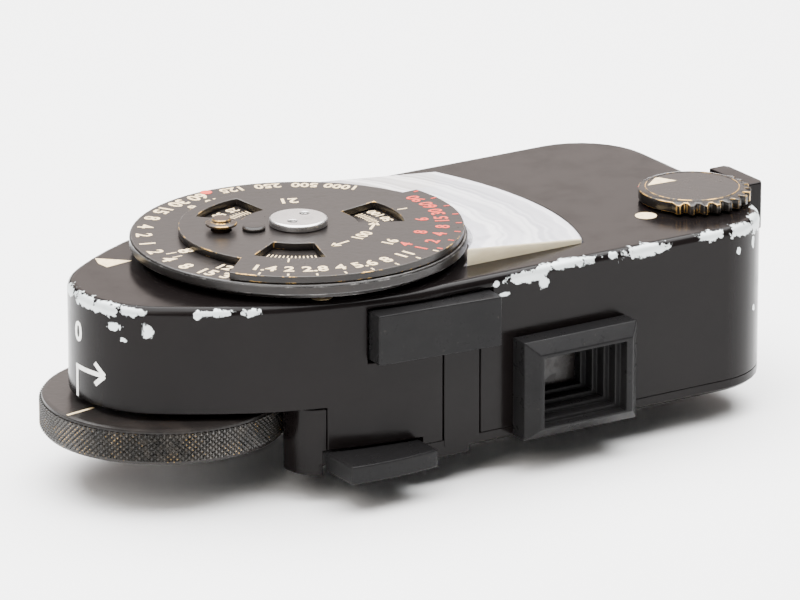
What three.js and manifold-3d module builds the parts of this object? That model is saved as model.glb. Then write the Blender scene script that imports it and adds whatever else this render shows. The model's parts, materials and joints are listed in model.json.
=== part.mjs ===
// Handheld light meter that sits on top of a camera: a charcoal metal housing with a calculator
// dial, a needle window, a light window in front, and a wheel that couples to the camera's
// speed dial. Millimetres, +Z up, +X towards the range knob, -Y towards the light window.
// Every piece is drawn around the dial's axis, with Z = 0 at the housing's top face. The last
// group moves the whole meter so that the origin is the centre of the shoe foot's underside.
import * as THREE from "three";
import { mergeVertices } from "three/addons/utils/BufferGeometryUtils.js";
import Module from "manifold-3d";

const wasm = await Module();
wasm.setup();

// ---- Driving dimensions, millimetres ---------------------------------------------------------
const WALL = 1.2;
const GAP = 0.12; // running gap between neighbours
const HALF_DEPTH = 13.9; // dial axis to the front and back faces
const RIGHT_END = 39.15;
const CORNER_R = 6.3; // vertical corners at the right end
const TOP_ROUND = 0.7;
const NOSE = { x: -12.5, r: 8.05 }; // round left end
const FLANK_R = 38.4; // long arcs that blend the nose into the straight sides
const WHEEL_X = -12.9; // wheel axis, left of the dial axis
const NOSE_FLOOR = -8.95; // lower edge of the housing above the wheel
const SPLIT_Z = -13.2; // housing meets base plate
const BASE_Z = -14.2; // underside of the base plate
const BOSS_X = [-7.15, -5.0]; // corner posts of the base beside the wheel
const WHEEL_CLEAR_R = 10.8;

const WHEEL = { r: 10.15, top: -9.55, bottom: -12.54, recess: 1.2 };
const GEAR = { teeth: 27, idlerTeeth: 16, module: 0.3, z0: -5.0, z1: -3.8 };
const DIAL = { r: 13.8, drumR: 12.9, z0: 0.25, plateZ: 0.72, z1: 1.63, shaftR: 1.4 };
const FILM = { r: 9.8, lobeR: 13.5, z0: 1.69, z1: 2.29, lobeDeg: [-146, 12] };
const SIGHT = { r0: 4.9, r1: 8.7, halfDeg: 19.5, atDeg: [113.5, -126.5, -6.5] };
const LATCH = { r: 6.41, deg: 160, pinR: 0.75, flangeR: 1.3, bottom: 2.0 };
const STUD = { r: 3.86, deg: 168.5, headR: 0.95 };
const NUT = { r: 2.4, z0: 2.36, z1: 2.93, holeAt: 1.15, holeR: 0.42, deg: 33 };
const KNOB = { x: 34.8, y: -6.0, r: 4.5, toothR: 4.9, z0: 0.25, z1: 1.25, shaftR: 1.2 };
const CRYSTAL = { outerR: 23.3, innerR: 14.15, y: [-10.4, 11.2], z0: -0.9, edge: 0.12, rise: 0.095 };
const MOVEMENT = { x: 12.0, y: 0.5, magnetR: 4.4, coreR: 2.7, z0: -8.0, z1: -3.5 };
const SCALE_Z = [-3.3, -3.05];
const NEEDLE = { z0: -2.3, z1: -2.1, length: 10.6 };
const WINDOW = { x: [11.8, 22.8], z: [-14.0, -5.6], front: -16.6, back: -13.95, inner: -11.8, chamfer: 1.0 };
const OPENING = { x: [13.2, 21.2], z: [-12.85, -6.9], steps: 5, stepIn: [0.5, 0.4], stepBack: 0.96 };
const BUTTON = { left: [-1.6, -14.82], right: [9.55, -15.79], inner: -11.9, z: [-5.35, -1.15], travel: 0.9 };
const CATCH = { x: [-5.2, 3.0], y: [-16.75, -12.3], bow: 0.3, z: [-14.3, -12.75], travel: 1.6 };
const TONGUE = { x: [-2.4, 2.0], y: -9.4 };
const SLIDE = { x: [39.8, 41.6], y: [-6.8, -1.2], z: [-3.4, 0.7], stemY: [-4.6, -3.4], travel: 2.0 };
const CELL = { x: 29.2, r: 7.8, z0: -13.1, z1: -7.1, coverR: 8.0 };
const BOARD = { x: [22.0, 37.4], halfY: 8.2, z: [-5.9, -5.2] };
const FOOT = { x: 11.3, y: 3.45, width: 18.6, neck: 12.4, length: 17.5, z: [-17.1, -15.4] };
const FOOT_SCREWS = [[-4.4, -6.2], [4.4, -6.2], [-4.4, 6.2], [4.4, 6.2]];
const CASE_SCREWS = [[-3.5, 10.6], [36.2, 10.4], [36.2, -10.4], [11.0, -11.4]];
const TAB_X = [5.2, 8.6]; // upright tongue of the base, flush with the front face
const TAB_TOP = -5.6;
const PAD = { x: [-8, 7.7], y: [-14, -7], drop: 0.4 }; // thicker strip under the catch and post

// ---- Materials -------------------------------------------------------------------------------
const finish = (color, roughness, metalness) =>
  new THREE.MeshStandardMaterial({ color, roughness, metalness });
const PAINT = finish(0x1b1a19, 0.38, 0.1);
const BLACK_METAL = finish(0x151413, 0.45, 0.4);
const BRASS = finish(0xb08a45, 0.35, 1.0);
const STEEL = finish(0xb9bbbd, 0.28, 1.0);
const CLEAR = finish(0xf2f2ee, 0.05, 0.0);
const DARK_GLASS = finish(0x20242a, 0.06, 0.0);
const WHITE = finish(0xe9e8ee, 0.5, 0.0);
const RED = finish(0xc23a2a, 0.4, 0.0);
const PLASTIC = finish(0x101010, 0.5, 0.0);
const FIBRE = finish(0x6b4a2c, 0.7, 0.0);

// ---- Solid helpers ---------------------------------------------------------------------------
const radians = THREE.MathUtils.degToRad;
const polar = (r, deg) => [r * Math.cos(radians(deg)), r * Math.sin(radians(deg))];

function toSolid(geometry) {
  const bare = geometry.clone().deleteAttribute("normal").deleteAttribute("uv");
  const merged = mergeVertices(bare, 1e-4);
  const mesh = new wasm.Mesh({
    numProp: 3,
    vertProperties: merged.attributes.position.array,
    triVerts: new Uint32Array(merged.index.array),
  });
  return new wasm.Manifold(mesh);
}

function toGeometry(solid) {
  const { vertProperties, triVerts } = solid.getMesh();
  return new THREE.BufferGeometry()
    .setAttribute("position", new THREE.BufferAttribute(vertProperties, 3))
    .setIndex(new THREE.BufferAttribute(triVerts, 1));
}

function combine(operation, first, others) {
  return toGeometry(others.reduce((sum, next) => sum[operation](toSolid(next)), toSolid(first)));
}
const cut = (first, ...others) => combine("subtract", first, others);
const join = (first, ...others) => combine("add", first, others);
const common = (first, ...others) => combine("intersect", first, others);

// Points of an arc, in degrees, from one angle to the other.
function arc(x, y, r, from, to, steps) {
  return Array.from({ length: steps + 1 }, (_, i) => {
    const [dx, dy] = polar(r, from + ((to - from) * i) / steps);
    return new THREE.Vector2(x + dx, y + dy);
  });
}

// Upright prism over an outline, or a shape with holes.
function prism(outline, z0, z1) {
  const shape = Array.isArray(outline) ? new THREE.Shape(outline) : outline;
  const options = { depth: z1 - z0, bevelEnabled: false, curveSegments: 24 };
  return new THREE.ExtrudeGeometry(shape, options).translate(0, 0, z0);
}

function box(x, y, z) {
  const size = [x, y, z].map(([low, high]) => high - low);
  const middle = [x, y, z].map(([low, high]) => (low + high) / 2);
  return new THREE.BoxGeometry(...size).translate(...middle);
}

function post(x, y, r, z0, z1, sides = 20) {
  const upright = new THREE.CylinderGeometry(r, r, z1 - z0, sides).rotateX(Math.PI / 2);
  return upright.translate(x, y, (z0 + z1) / 2);
}

// Turned piece about Z from [radius, height] points, listed from the lower axis end outwards.
function turned(profile, sides = 24) {
  const points = profile.map(([r, z]) => new THREE.Vector2(r, z));
  return new THREE.LatheGeometry(points, sides).rotateX(Math.PI / 2);
}

// Turned ring: the profile closes on itself.
const ring = (r0, r1, z0, z1, sides = 20) =>
  turned([[r0, z0], [r1, z0], [r1, z1], [r0, z1], [r0, z0]], sides);

// Skin through stacked outlines that have the same number of points.
function loft(layers) {
  const count = layers[0].outline.length;
  const vertices = layers.flatMap(({ outline, z }) => outline.flatMap((p) => [p.x, p.y, z]));
  const top = (layers.length - 1) * count;
  const index = [];
  for (let layer = 0; layer < layers.length - 1; layer += 1) {
    for (let i = 0; i < count; i += 1) {
      const a = layer * count + i;
      const b = layer * count + ((i + 1) % count);
      index.push(a, b, b + count, a, b + count, a + count);
    }
  }
  for (const [a, b, c] of THREE.ShapeUtils.triangulateShape(layers[0].outline, [])) {
    index.push(c, b, a);
    index.push(top + a, top + b, top + c);
  }
  return new THREE.BufferGeometry()
    .setAttribute("position", new THREE.Float32BufferAttribute(vertices, 3))
    .setIndex(index);
}

const parts = new Map();
function body(name, x = 0, y = 0) {
  const group = new THREE.Group();
  group.position.set(x, y, 0);
  parts.set(name, group);
  return group;
}

function add(group, name, geometry, material) {
  const mesh = new THREE.Mesh(geometry, material);
  mesh.name = name;
  group.add(mesh);
}

const casing = body("casing");
const dial = body("dial");
const filmDisc = body("film_disc");
const latch = body("latch", ...polar(LATCH.r, LATCH.deg));
const wheel = body("wheel", WHEEL_X, 0);
const idler = body("idler", WHEEL_X / 2, 0);
const rangeKnob = body("range_knob", KNOB.x, KNOB.y);
const needle = body("needle", MOVEMENT.x, MOVEMENT.y);
const button = body("measure_button");
const shoeCatch = body("shoe_catch");
const slide = body("test_slide");
const cover = body("battery_cover", CELL.x, 0);

// ---- Plan outline ----------------------------------------------------------------------------
// Each flank arc touches the round nose and the straight side.
const flankY = FLANK_R - HALF_DEPTH;
const flankX = NOSE.x + Math.sqrt((FLANK_R - NOSE.r) ** 2 - flankY ** 2);
const flankDeg = 90 - THREE.MathUtils.radToDeg(Math.atan2(flankY, flankX - NOSE.x));

function plan(inset = 0) {
  const cornerX = RIGHT_END - CORNER_R;
  const cornerY = HALF_DEPTH - CORNER_R;
  const cornerR = CORNER_R - inset;
  return [
    ...arc(cornerX, -cornerY, cornerR, -90, 0, 8),
    ...arc(cornerX, cornerY, cornerR, 0, 90, 8),
    ...arc(flankX, -flankY, FLANK_R - inset, 90, 90 + flankDeg, 10).slice(0, -1),
    ...arc(NOSE.x, 0, NOSE.r - inset, 90 + flankDeg, 270 - flankDeg, 16),
    ...arc(flankX, flankY, FLANK_R - inset, 270 - flankDeg, 270, 10).slice(1),
  ];
}
const flankFrontY = (x) => flankY - Math.sqrt(FLANK_R ** 2 - (x - flankX) ** 2);

function roundedTop(z0) {
  const rounds = [0, 30, 60, 90].map((deg) => ({
    outline: plan(TOP_ROUND * (1 - Math.cos(radians(deg)))),
    z: TOP_ROUND * (Math.sin(radians(deg)) - 1),
  }));
  return loft([{ outline: plan(), z: z0 }, ...rounds]);
}

// Needle window outline: between two arcs about the dial axis and two straight edges.
function crescent(grow) {
  const outer = CRYSTAL.outerR + grow;
  const inner = CRYSTAL.innerR - grow;
  const [front, back] = [CRYSTAL.y[0] - grow, CRYSTAL.y[1] + grow];
  const angle = (y, r) => THREE.MathUtils.radToDeg(Math.asin(y / r));
  return [
    ...arc(0, 0, outer, angle(front, outer), angle(back, outer), 14),
    ...arc(0, 0, inner, angle(back, inner), angle(front, inner), 12),
  ];
}

// The measuring button's plan. Its pocket is grown evenly and runs in by the button's travel.
function buttonPlan(grow, travel = 0) {
  const along = new THREE.Vector2(...BUTTON.right).sub(new THREE.Vector2(...BUTTON.left));
  const side = along.clone().normalize().multiplyScalar(grow);
  const inward = new THREE.Vector2(-along.y, along.x).normalize();
  const left = new THREE.Vector2(...BUTTON.left).sub(side);
  const right = new THREE.Vector2(...BUTTON.right).add(side);
  const end = BUTTON.inner + travel + grow;
  const back = ({ x, y }) => new THREE.Vector2(x + (inward.x / inward.y) * (end - y), end);
  return [left, right, back(right), back(left)];
}

// ---- Housing ---------------------------------------------------------------------------------
function topHousing() {
  const below = SPLIT_Z - 1;
  const cavity = prism(plan(WALL), below, -WALL);
  const posts = CASE_SCREWS.map(([x, y], i) => {
    const behindButton = i === 3;
    return post(x, y, 1.5, SPLIT_Z, behindButton ? -6.2 : -1, 16);
  });
  const shell = join(cut(roundedTop(SPLIT_Z), cavity), ...posts);
  return cut(
    shell,
    box([-30, BOSS_X[1]], [-20, 20], [below, NOSE_FLOOR]),
    post(0, 0, 2.4, -3, 1),
    post(KNOB.x, KNOB.y, 2.1, -3, 1),
    prism(crescent(GAP), -3, 1),
    prism(buttonPlan(0.2, BUTTON.travel), BUTTON.z[0] - 0.2, BUTTON.z[1] + 0.2),
    box([WINDOW.x[0] + 1.05, WINDOW.x[1] - 1.25], [-15, -12], [below, OPENING.z[1] + 0.15]),
    box([TAB_X[0] - GAP, TAB_X[1] + GAP], [-15, -12.5], [below, TAB_TOP + GAP]),
    box([CATCH.x[0] - 0.2, CATCH.x[1] + 0.2], [-15, -11], [below, CATCH.z[1] + 0.2]),
    box([37.5, 40], [SLIDE.stemY[0] - 0.3, SLIDE.stemY[1] + SLIDE.travel + 0.3], [-2.75, -1.25]),
    ...CASE_SCREWS.map(([x, y]) => post(x, y, 0.62, below, SPLIT_Z + 5, 12)),
  );
}

// ---- Base plate ------------------------------------------------------------------------------
// Side 1 is the front post and side -1 the back one.
function cornerPost(side) {
  const corner = [BOSS_X[1] - GAP, flankFrontY(BOSS_X[1])];
  const outline = new THREE.Shape()
    .moveTo(corner[0], -8)
    .lineTo(...corner)
    .quadraticCurveTo(BOSS_X[0] + 0.2, corner[1] + 0.4, BOSS_X[0], -10.0)
    .lineTo(BOSS_X[0], -8);
  const points = outline.getPoints(6).map((p) => new THREE.Vector2(p.x, p.y * side));
  return prism(side > 0 ? points.reverse() : points, SPLIT_Z - 0.5, NOSE_FLOOR - 0.1);
}

// What the base plate loses beside the wheel, outside the rounded corner post.
function beyondPosts(side) {
  return cut(
    box([-30, BOSS_X[1] - GAP], side > 0 ? [-20, -8] : [8, 20], [-20, NOSE_FLOOR - 0.05]),
    cornerPost(side).translate(0, 0, -1.5),
    cornerPost(side),
  );
}

function basePlate() {
  const plate = loft([
    { outline: plan(0.35), z: BASE_Z },
    { outline: plan(), z: BASE_Z + 0.3 },
    { outline: plan(), z: SPLIT_Z },
  ]);
  const inside = prism(plan(WALL + GAP), SPLIT_Z - 0.5, 0);
  const wheelWall = ring(WHEEL_CLEAR_R - 1, WHEEL_CLEAR_R + 1.2, SPLIT_Z - 0.5, -7.95, 48);
  const noseFloor = post(WHEEL_X, 0, WHEEL_CLEAR_R, NOSE_FLOOR, -7.95, 48);
  const cellWall = ring(8.15, 8.7, SPLIT_Z - 0.5, -9.0, 36).translate(CELL.x, 0, 0);
  const posts = join(cornerPost(-1), cornerPost(1));
  const wheelRoom = post(WHEEL_X, 0, WHEEL_CLEAR_R, -20, NOSE_FLOOR, 48);
  const catchBack = CATCH.y[1] + CATCH.travel + 0.2;
  return cut(
    join(
      plate,
      common(wheelWall.translate(WHEEL_X, 0, 0), inside),
      common(noseFloor, inside),
      cut(posts, post(WHEEL_X, 0, WHEEL_CLEAR_R - 0.5, -20, 0, 48)),
      cellWall,
      box(TAB_X, [-HALF_DEPTH, -12.75], [SPLIT_Z - 0.5, TAB_TOP]),
      common(prism(plan(), BASE_Z - PAD.drop, SPLIT_Z), box(PAD.x, PAD.y, [-20, 0])),
    ),
    wheelRoom,
    beyondPosts(-1),
    beyondPosts(1),
    post(WHEEL_X, 0, 2.3, -12, -5),
    box([CATCH.x[0] - 0.2, CATCH.x[1] + 0.2], [-15, catchBack], [-15, CATCH.z[1] + 0.2]),
    box([TONGUE.x[0] - 0.2, TONGUE.x[1] + 0.2], [-15, TONGUE.y + CATCH.travel + 0.2], [-15, -12.4]),
    post(CELL.x, 0, CELL.coverR + 0.1, -15, SPLIT_Z, 36),
    ...CASE_SCREWS.map(([x, y]) => post(x, y, 0.72, -15, -13, 12)),
    ...CASE_SCREWS.map(([x, y]) => post(x, y, 1.25, -15, BASE_Z + 0.55, 16)),
    ...FOOT_SCREWS.map(([x, y]) => post(FOOT.x + x, FOOT.y + y, 0.62, -15, -13, 12)),
  );
}

// ---- Shoe foot and screws --------------------------------------------------------------------
function shoeFoot() {
  const half = FOOT.width / 2;
  const front = -FOOT.length / 2;
  const flange = [
    [-half + 1.6, front], [half - 1.6, front], [half, front + 1.6], [half, -front - 0.6],
    [half - 0.6, -front], [-half + 0.6, -front], [-half, -front - 0.6], [-half, front + 1.6],
  ].map(([x, y]) => new THREE.Vector2(x, y));
  const neck = [-FOOT.neck / 2, FOOT.neck / 2];
  const whole = join(
    prism(flange, ...FOOT.z),
    box(neck, [front, -front], [FOOT.z[1] - 0.5, BASE_Z - 0.02]),
  );
  return cut(
    whole,
    ...FOOT_SCREWS.map(([x, y]) => post(x, y, 0.72, -18, -13, 12)),
    ...FOOT_SCREWS.map(([x, y]) => post(x, y, 1.25, -18, FOOT.z[0] + 0.75, 16)),
  ).translate(FOOT.x, FOOT.y, 0);
}

// Slotted screw, head down, with its head's lower face at z.
function screw(x, y, z, length) {
  const shape = turned([
    [0, z], [1.0, z], [1.1, z + 0.1], [1.1, z + 0.5], [0.55, z + 0.5], [0.55, z + length], [0, z + length],
  ], 10);
  return cut(shape, box([-2, 2], [-0.14, 0.14], [z - 1, z + 0.2])).translate(x, y, 0);
}

// ---- Gears and shafts ------------------------------------------------------------------------
// Straight-sided teeth with running clearance; phase turns the first tooth, in tooth pitches.
const pitchRadius = (teeth) => (teeth * GEAR.module) / 2;

function gear(teeth, bore, phase) {
  const root = pitchRadius(teeth) - 1.25 * GEAR.module;
  const tip = pitchRadius(teeth) + 0.8 * GEAR.module;
  const step = 360 / teeth;
  const outline = [];
  for (let tooth = 0; tooth < teeth; tooth += 1) {
    const at = (tooth + phase) * step;
    outline.push(polar(root, at - 0.22 * step), polar(tip, at - 0.09 * step));
    outline.push(polar(tip, at + 0.09 * step), polar(root, at + 0.22 * step));
  }
  const shape = new THREE.Shape(outline.map(([x, y]) => new THREE.Vector2(x, y)));
  shape.holes.push(new THREE.Path(arc(0, 0, bore, 0, 345, 23)));
  return prism(shape, GEAR.z0, GEAR.z1);
}

// ---- Dial stack ------------------------------------------------------------------------------
// Thin plate over a slightly smaller drum, so that a dark gap shows under its rim.
function speedDisc() {
  const { r, drumR, z0, plateZ, z1, shaftR } = DIAL;
  const bore = shaftR + 0.05;
  return turned([
    [bore, z0], [drumR, z0], [drumR, plateZ], [r - 0.1, plateZ], [r, plateZ + 0.1], [r, z1 - 0.15],
    [r - 0.15, z1], [bore, z1], [bore, z0],
  ], 72);
}

function apertureDisc() {
  const [from, to] = FILM.lobeDeg;
  const blend = 4; // degrees over which the lobe steps in to the smaller radius
  const outline = [
    ...arc(0, 0, FILM.lobeR, from, to, 32),
    ...arc(0, 0, FILM.r, to + blend, from + 360 - blend, 36),
  ];
  const shape = new THREE.Shape(outline);
  const hole = (points) => shape.holes.push(new THREE.Path(points));
  for (const at of SIGHT.atDeg) {
    const [a0, a1] = [at - SIGHT.halfDeg, at + SIGHT.halfDeg];
    hole([...arc(0, 0, SIGHT.r0, a0, a1, 8), ...arc(0, 0, SIGHT.r1, a1, a0, 10)]);
  }
  hole(arc(...polar(LATCH.r, LATCH.deg), LATCH.pinR + 0.1, 0, 337.5, 15));
  hole(arc(0, 0, DIAL.shaftR + 0.1, 0, 345, 23));
  return prism(shape, FILM.z0, FILM.z1);
}

function latchPin() {
  const { pinR, flangeR, bottom } = LATCH;
  return turned([
    [0, bottom], [pinR, bottom], [pinR, 2.7], [flangeR, 2.7], [flangeR, 2.92],
    [0.8, 3.0], [0.8, 3.25], [0.65, 3.35], [0, 3.35],
  ], 20);
}

function spannerNut() {
  const { r, z0, z1, holeAt, holeR, deg } = NUT;
  const blank = turned([
    [0, z0 + 0.36], [1.05, z0 + 0.36], [1.05, z0], [r, z0], [r, z1 - 0.12], [r - 0.15, z1], [0, z1],
  ], 40);
  const holes = [deg, deg + 180].map((at) => post(...polar(holeAt, at), holeR, z1 - 0.18, z1 + 1, 12));
  return cut(blank, ...holes);
}

const dialShaft = () =>
  turned([[0, -6], [DIAL.shaftR, -6], [DIAL.shaftR, 2.33], [1.0, 2.33], [1.0, 2.68], [0, 2.68]], 24);

// ---- Coupling wheel --------------------------------------------------------------------------
function couplingWheel() {
  const { r, top, bottom, recess } = WHEEL;
  const bore = 1.25;
  const blank = turned([
    [bore, bottom + recess], [7.6, bottom + recess], [7.6, bottom], [r - 0.3, bottom],
    [r, bottom + 0.3], [r, top - 0.3], [r - 0.3, top], [bore, top], [bore, bottom + recess],
  ], 48);
  return cut(blank, post(5.5, 0, 0.85, bottom, top + 1, 16));
}

const couplingPin = () =>
  turned([
    [0, -13.7], [0.6, -13.7], [0.8, -13.5], [0.8, WHEEL.top - 0.3], [0, WHEEL.top - 0.3],
  ], 16).translate(5.5, 0, 0);

const wheelShaft = () =>
  turned([[0, -12.2], [2.4, -12.2], [2.4, -11.4], [1.2, -11.4], [1.2, -3.5], [0, -3.5]], 24);

// ---- Range knob ------------------------------------------------------------------------------
// Round edge at the back and left, finger scallops over the front-right part.
function rangeKnobTop() {
  const scallops = 12;
  const [from, to] = [-142, 20];
  const pitch = (to - from) / scallops;
  const teeth = [];
  for (let i = 0; i < scallops; i += 1) {
    const at = from + i * pitch;
    teeth.push(polar(KNOB.toothR, at + 0.15 * pitch), polar(KNOB.toothR, at + 0.45 * pitch));
    teeth.push(polar(KNOB.toothR - 0.5, at + 0.65 * pitch), polar(KNOB.toothR - 0.5, at + 0.9 * pitch));
  }
  const outline = [
    ...teeth.map(([x, y]) => new THREE.Vector2(x, y)),
    ...arc(0, 0, KNOB.r, to + 4, from + 356, 24),
  ];
  const disc = turned([
    [0, KNOB.z0], [5.2, KNOB.z0], [5.2, KNOB.z1 - 0.25], [3.95, KNOB.z1], [0, KNOB.z1],
  ], 32);
  return cut(common(disc, prism(outline, 0, 2)), post(0, 0, 0.85, 0, 0.85, 16));
}

const knobShaft = () =>
  turned([[0, -4.8], [KNOB.shaftR, -4.8], [KNOB.shaftR, 0.2], [0.8, 0.2], [0.8, 0.8], [0, 0.8]], 20);

function rangeWiper() {
  const arm = join(post(0, 0, 2.0, -4.7, -4.4, 20), box([-2.8, 0], [-0.5, 0.5], [-4.7, -4.4]));
  return cut(arm, post(0, 0, 1.25, -6, -3, 20));
}

// ---- Needle movement -------------------------------------------------------------------------
function magnetRing() {
  const blank = ring(MOVEMENT.coreR, MOVEMENT.magnetR, MOVEMENT.z0 + 0.6, MOVEMENT.z1, 28);
  return cut(blank, box([0, 6], [-0.8, 0.8], [-10, 0])).translate(MOVEMENT.x, MOVEMENT.y, 0);
}

function movementFrame() {
  const dish = turned([
    [0, -8.6], [5.0, -8.6], [5.0, -6.2], [4.5, -6.2], [4.5, MOVEMENT.z0 + 0.5], [0, MOVEMENT.z0 + 0.5],
  ], 28);
  const pivotHole = post(0, 0, 0.4, -8.2, -7, 12);
  return cut(dish, pivotHole).translate(MOVEMENT.x, MOVEMENT.y, 0);
}

function coil() {
  const frame = cut(
    box([-2.2, 2.2], [-0.6, 0.6], [-7.0, -4.2]),
    box([-1.6, 1.6], [-2, 2], [-6.4, -4.8]),
  );
  return join(frame, post(0, 0, 0.3, -8.1, -6.8, 10), post(0, 0, 0.3, -4.4, NEEDLE.z0 - 0.03, 10));
}

function pointer() {
  const { z0, z1, length } = NEEDLE;
  const blade = [[-2.6, -0.5], [-0.6, -0.25], [length, -0.09], [length, 0.09], [-0.6, 0.25], [-2.6, 0.5]];
  return prism(blade.map(([x, y]) => new THREE.Vector2(x, y)), z0, z1);
}

function scalePlate() {
  const plate = prism(crescent(-0.5), ...SCALE_Z);
  const tongue = box([8.2, 15], [-3.5, 4.5], SCALE_Z);
  return cut(join(plate, tongue), post(MOVEMENT.x, MOVEMENT.y, 0.8, -4, -2, 16));
}

// Clear window whose top slopes up towards the dial.
function crystal() {
  const { outerR, z0, edge, rise } = CRYSTAL;
  const left = 5;
  const side = [[left, z0], [outerR + 1, z0], [outerR + 1, edge - rise], [left, edge + rise * (outerR - left)]];
  const wedge = prism(side.map(([x, z]) => new THREE.Vector2(x, z)), -20, 20).rotateX(Math.PI / 2);
  return common(prism(crescent(0), z0, 4), wedge);
}

// ---- Light window ----------------------------------------------------------------------------
function windowFrame() {
  const { x, z, front, back, inner, chamfer } = WINDOW;
  const rim = (inset) => [
    [x[0] + inset, z[0] + inset], [x[1] - inset, z[0] + inset],
    [x[1] - inset, z[1] - inset], [x[0] + inset, z[1] - inset],
  ].map(([across, up]) => new THREE.Vector2(across, up));
  const bezel = loft([
    { outline: rim(0), z: -back },
    { outline: rim(0), z: -front - chamfer },
    { outline: rim(chamfer), z: -front },
  ]).rotateX(Math.PI / 2);
  const spigot = box([x[0] + 1.2, x[1] - 1.4], [back - 0.5, inner], [-12.95, OPENING.z[1] + 0.02]);
  const steps = Array.from({ length: OPENING.steps }, (_, k) => {
    const [inX, inZ] = OPENING.stepIn.map((step) => step * k);
    const depth = front + OPENING.stepBack * (k + 1);
    const end = k === OPENING.steps - 1 ? inner + 1 : depth;
    return box(
      [OPENING.x[0] + inX, OPENING.x[1] - inX],
      [front - 1, end],
      [OPENING.z[0] + inZ, OPENING.z[1] - inZ],
    );
  });
  return cut(join(bezel, spigot), ...steps);
}

function photocell() {
  const can = turned([[0, 0], [2.7, 0], [2.7, 0.4], [2.4, 0.4], [2.4, 2.0], [0, 2.0]], 28);
  return can.rotateX(-Math.PI / 2).translate(17.2, -11.1, -9.87);
}

// ---- Buttons, catch and slide ----------------------------------------------------------------
function coilSpring(r, wire, turns, length) {
  class Helix extends THREE.Curve {
    getPoint(t, target = new THREE.Vector3()) {
      const angle = t * turns * 2 * Math.PI;
      return target.set(r * Math.cos(angle), t * length, r * Math.sin(angle));
    }
  }
  const section = new THREE.Shape(arc(0, 0, wire, 0, 270, 3));
  return new THREE.ExtrudeGeometry(section, { steps: turns * 8, extrudePath: new Helix() });
}

function shoeCatchLever() {
  const [x0, x1] = CATCH.x;
  const [y0, y1] = CATCH.y;
  const nose = new THREE.Shape()
    .moveTo(x0, y1)
    .lineTo(x0, y0 + CATCH.bow)
    .quadraticCurveTo((x0 + x1) / 2, y0 - CATCH.bow, x1, y0 + CATCH.bow)
    .lineTo(x1, y1)
    .lineTo(TONGUE.x[1], y1)
    .lineTo(TONGUE.x[1], TONGUE.y)
    .lineTo(TONGUE.x[0], TONGUE.y)
    .lineTo(TONGUE.x[0], y1);
  return prism(new THREE.Shape(nose.getPoints(10)), ...CATCH.z);
}

function testSlide() {
  const [y0, y1] = SLIDE.y;
  const plate = prism([
    [SLIDE.x[0], y0], [SLIDE.x[1] - 0.3, y0], [SLIDE.x[1], y0 + 0.5],
    [SLIDE.x[1], y1 - 0.5], [SLIDE.x[1] - 0.3, y1], [SLIDE.x[0], y1],
  ].map(([x, y]) => new THREE.Vector2(x, y)), ...SLIDE.z);
  const stem = box([37.0, SLIDE.x[0] + 0.5], SLIDE.stemY, [-2.6, -1.4]);
  const keeper = box([36.9, 37.9], [-5.4, -2.6], [-3.4, -1.35]);
  return join(plate, stem, keeper);
}

// ---- Battery and electrical pieces -----------------------------------------------------------
const batteryCover = () =>
  cut(
    turned([[0, BASE_Z], [7.8, BASE_Z], [8.0, BASE_Z + 0.2], [8.0, SPLIT_Z], [0, SPLIT_Z]], 36),
    box([-5, 5], [-0.75, 0.75], [-15, BASE_Z + 0.6]),
  );

const batteryCell = () =>
  turned([
    [0, CELL.z0], [CELL.r, CELL.z0], [CELL.r, CELL.z1 - 0.6], [6.2, CELL.z1 - 0.4],
    [6.2, CELL.z1], [0, CELL.z1],
  ], 28).translate(CELL.x, 0, 0);

const resistor = (y) =>
  turned([[0, 0], [0.7, 0], [0.8, 0.3], [0.8, 3.7], [0.7, 4], [0, 4]], 14)
    .rotateY(Math.PI / 2)
    .translate(24.5, y, BOARD.z[1] + 0.85);

// ---- Assembly --------------------------------------------------------------------------------
add(casing, "top_housing", topHousing(), PAINT);
add(casing, "base_plate", basePlate(), PAINT);
add(casing, "shoe_foot", shoeFoot(), STEEL);
FOOT_SCREWS.forEach(([x, y], i) => {
  add(casing, `foot_screw_${i + 1}`, screw(FOOT.x + x, FOOT.y + y, FOOT.z[0] + 0.2, 3.5), STEEL);
});
CASE_SCREWS.forEach(([x, y], i) => {
  add(casing, `case_screw_${i + 1}`, screw(x, y, BASE_Z + 0.02, 5), BLACK_METAL);
});
add(casing, "dial_bush", ring(1.46, 2.3, -2.1, 0.15), BRASS);
add(casing, "knob_bush", ring(1.28, 2.0, -1.9, 0.15).translate(KNOB.x, KNOB.y, 0), BRASS);
add(casing, "wheel_bush", ring(1.28, 2.2, -9.2, -7.2).translate(WHEEL_X, 0, 0), BRASS);
add(casing, "needle_window", crystal(), CLEAR);
add(casing, "scale_plate", scalePlate(), WHITE);
add(casing, "magnet_ring", magnetRing(), STEEL);
add(casing, "movement_frame", movementFrame(), BRASS);
add(casing, "light_window_frame", windowFrame(), PLASTIC);
add(casing, "light_window_lens", box([14.9, 19.5], [-11.75, -11.2], [-11.6, -8.15]), DARK_GLASS);
add(casing, "photocell", photocell(), FIBRE);
add(casing, "battery_cell", batteryCell(), STEEL);
add(casing, "battery_contact", box([25, 33.4], [-1.5, 1.5], [-6.7, -6.4]), BRASS);
add(casing, "circuit_board", box(BOARD.x, [-BOARD.halfY, BOARD.halfY], BOARD.z), FIBRE);
add(casing, "resistor_low", resistor(3.0), FIBRE);
add(casing, "resistor_high", resistor(5.6), FIBRE);

add(dial, "speed_disc", speedDisc(), BLACK_METAL);
add(dial, "dial_shaft", dialShaft(), STEEL);
add(dial, "dial_gear", gear(GEAR.teeth, DIAL.shaftR + 0.05, 0.5), BRASS);
add(dial, "spanner_nut", spannerNut(), STEEL);

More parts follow.
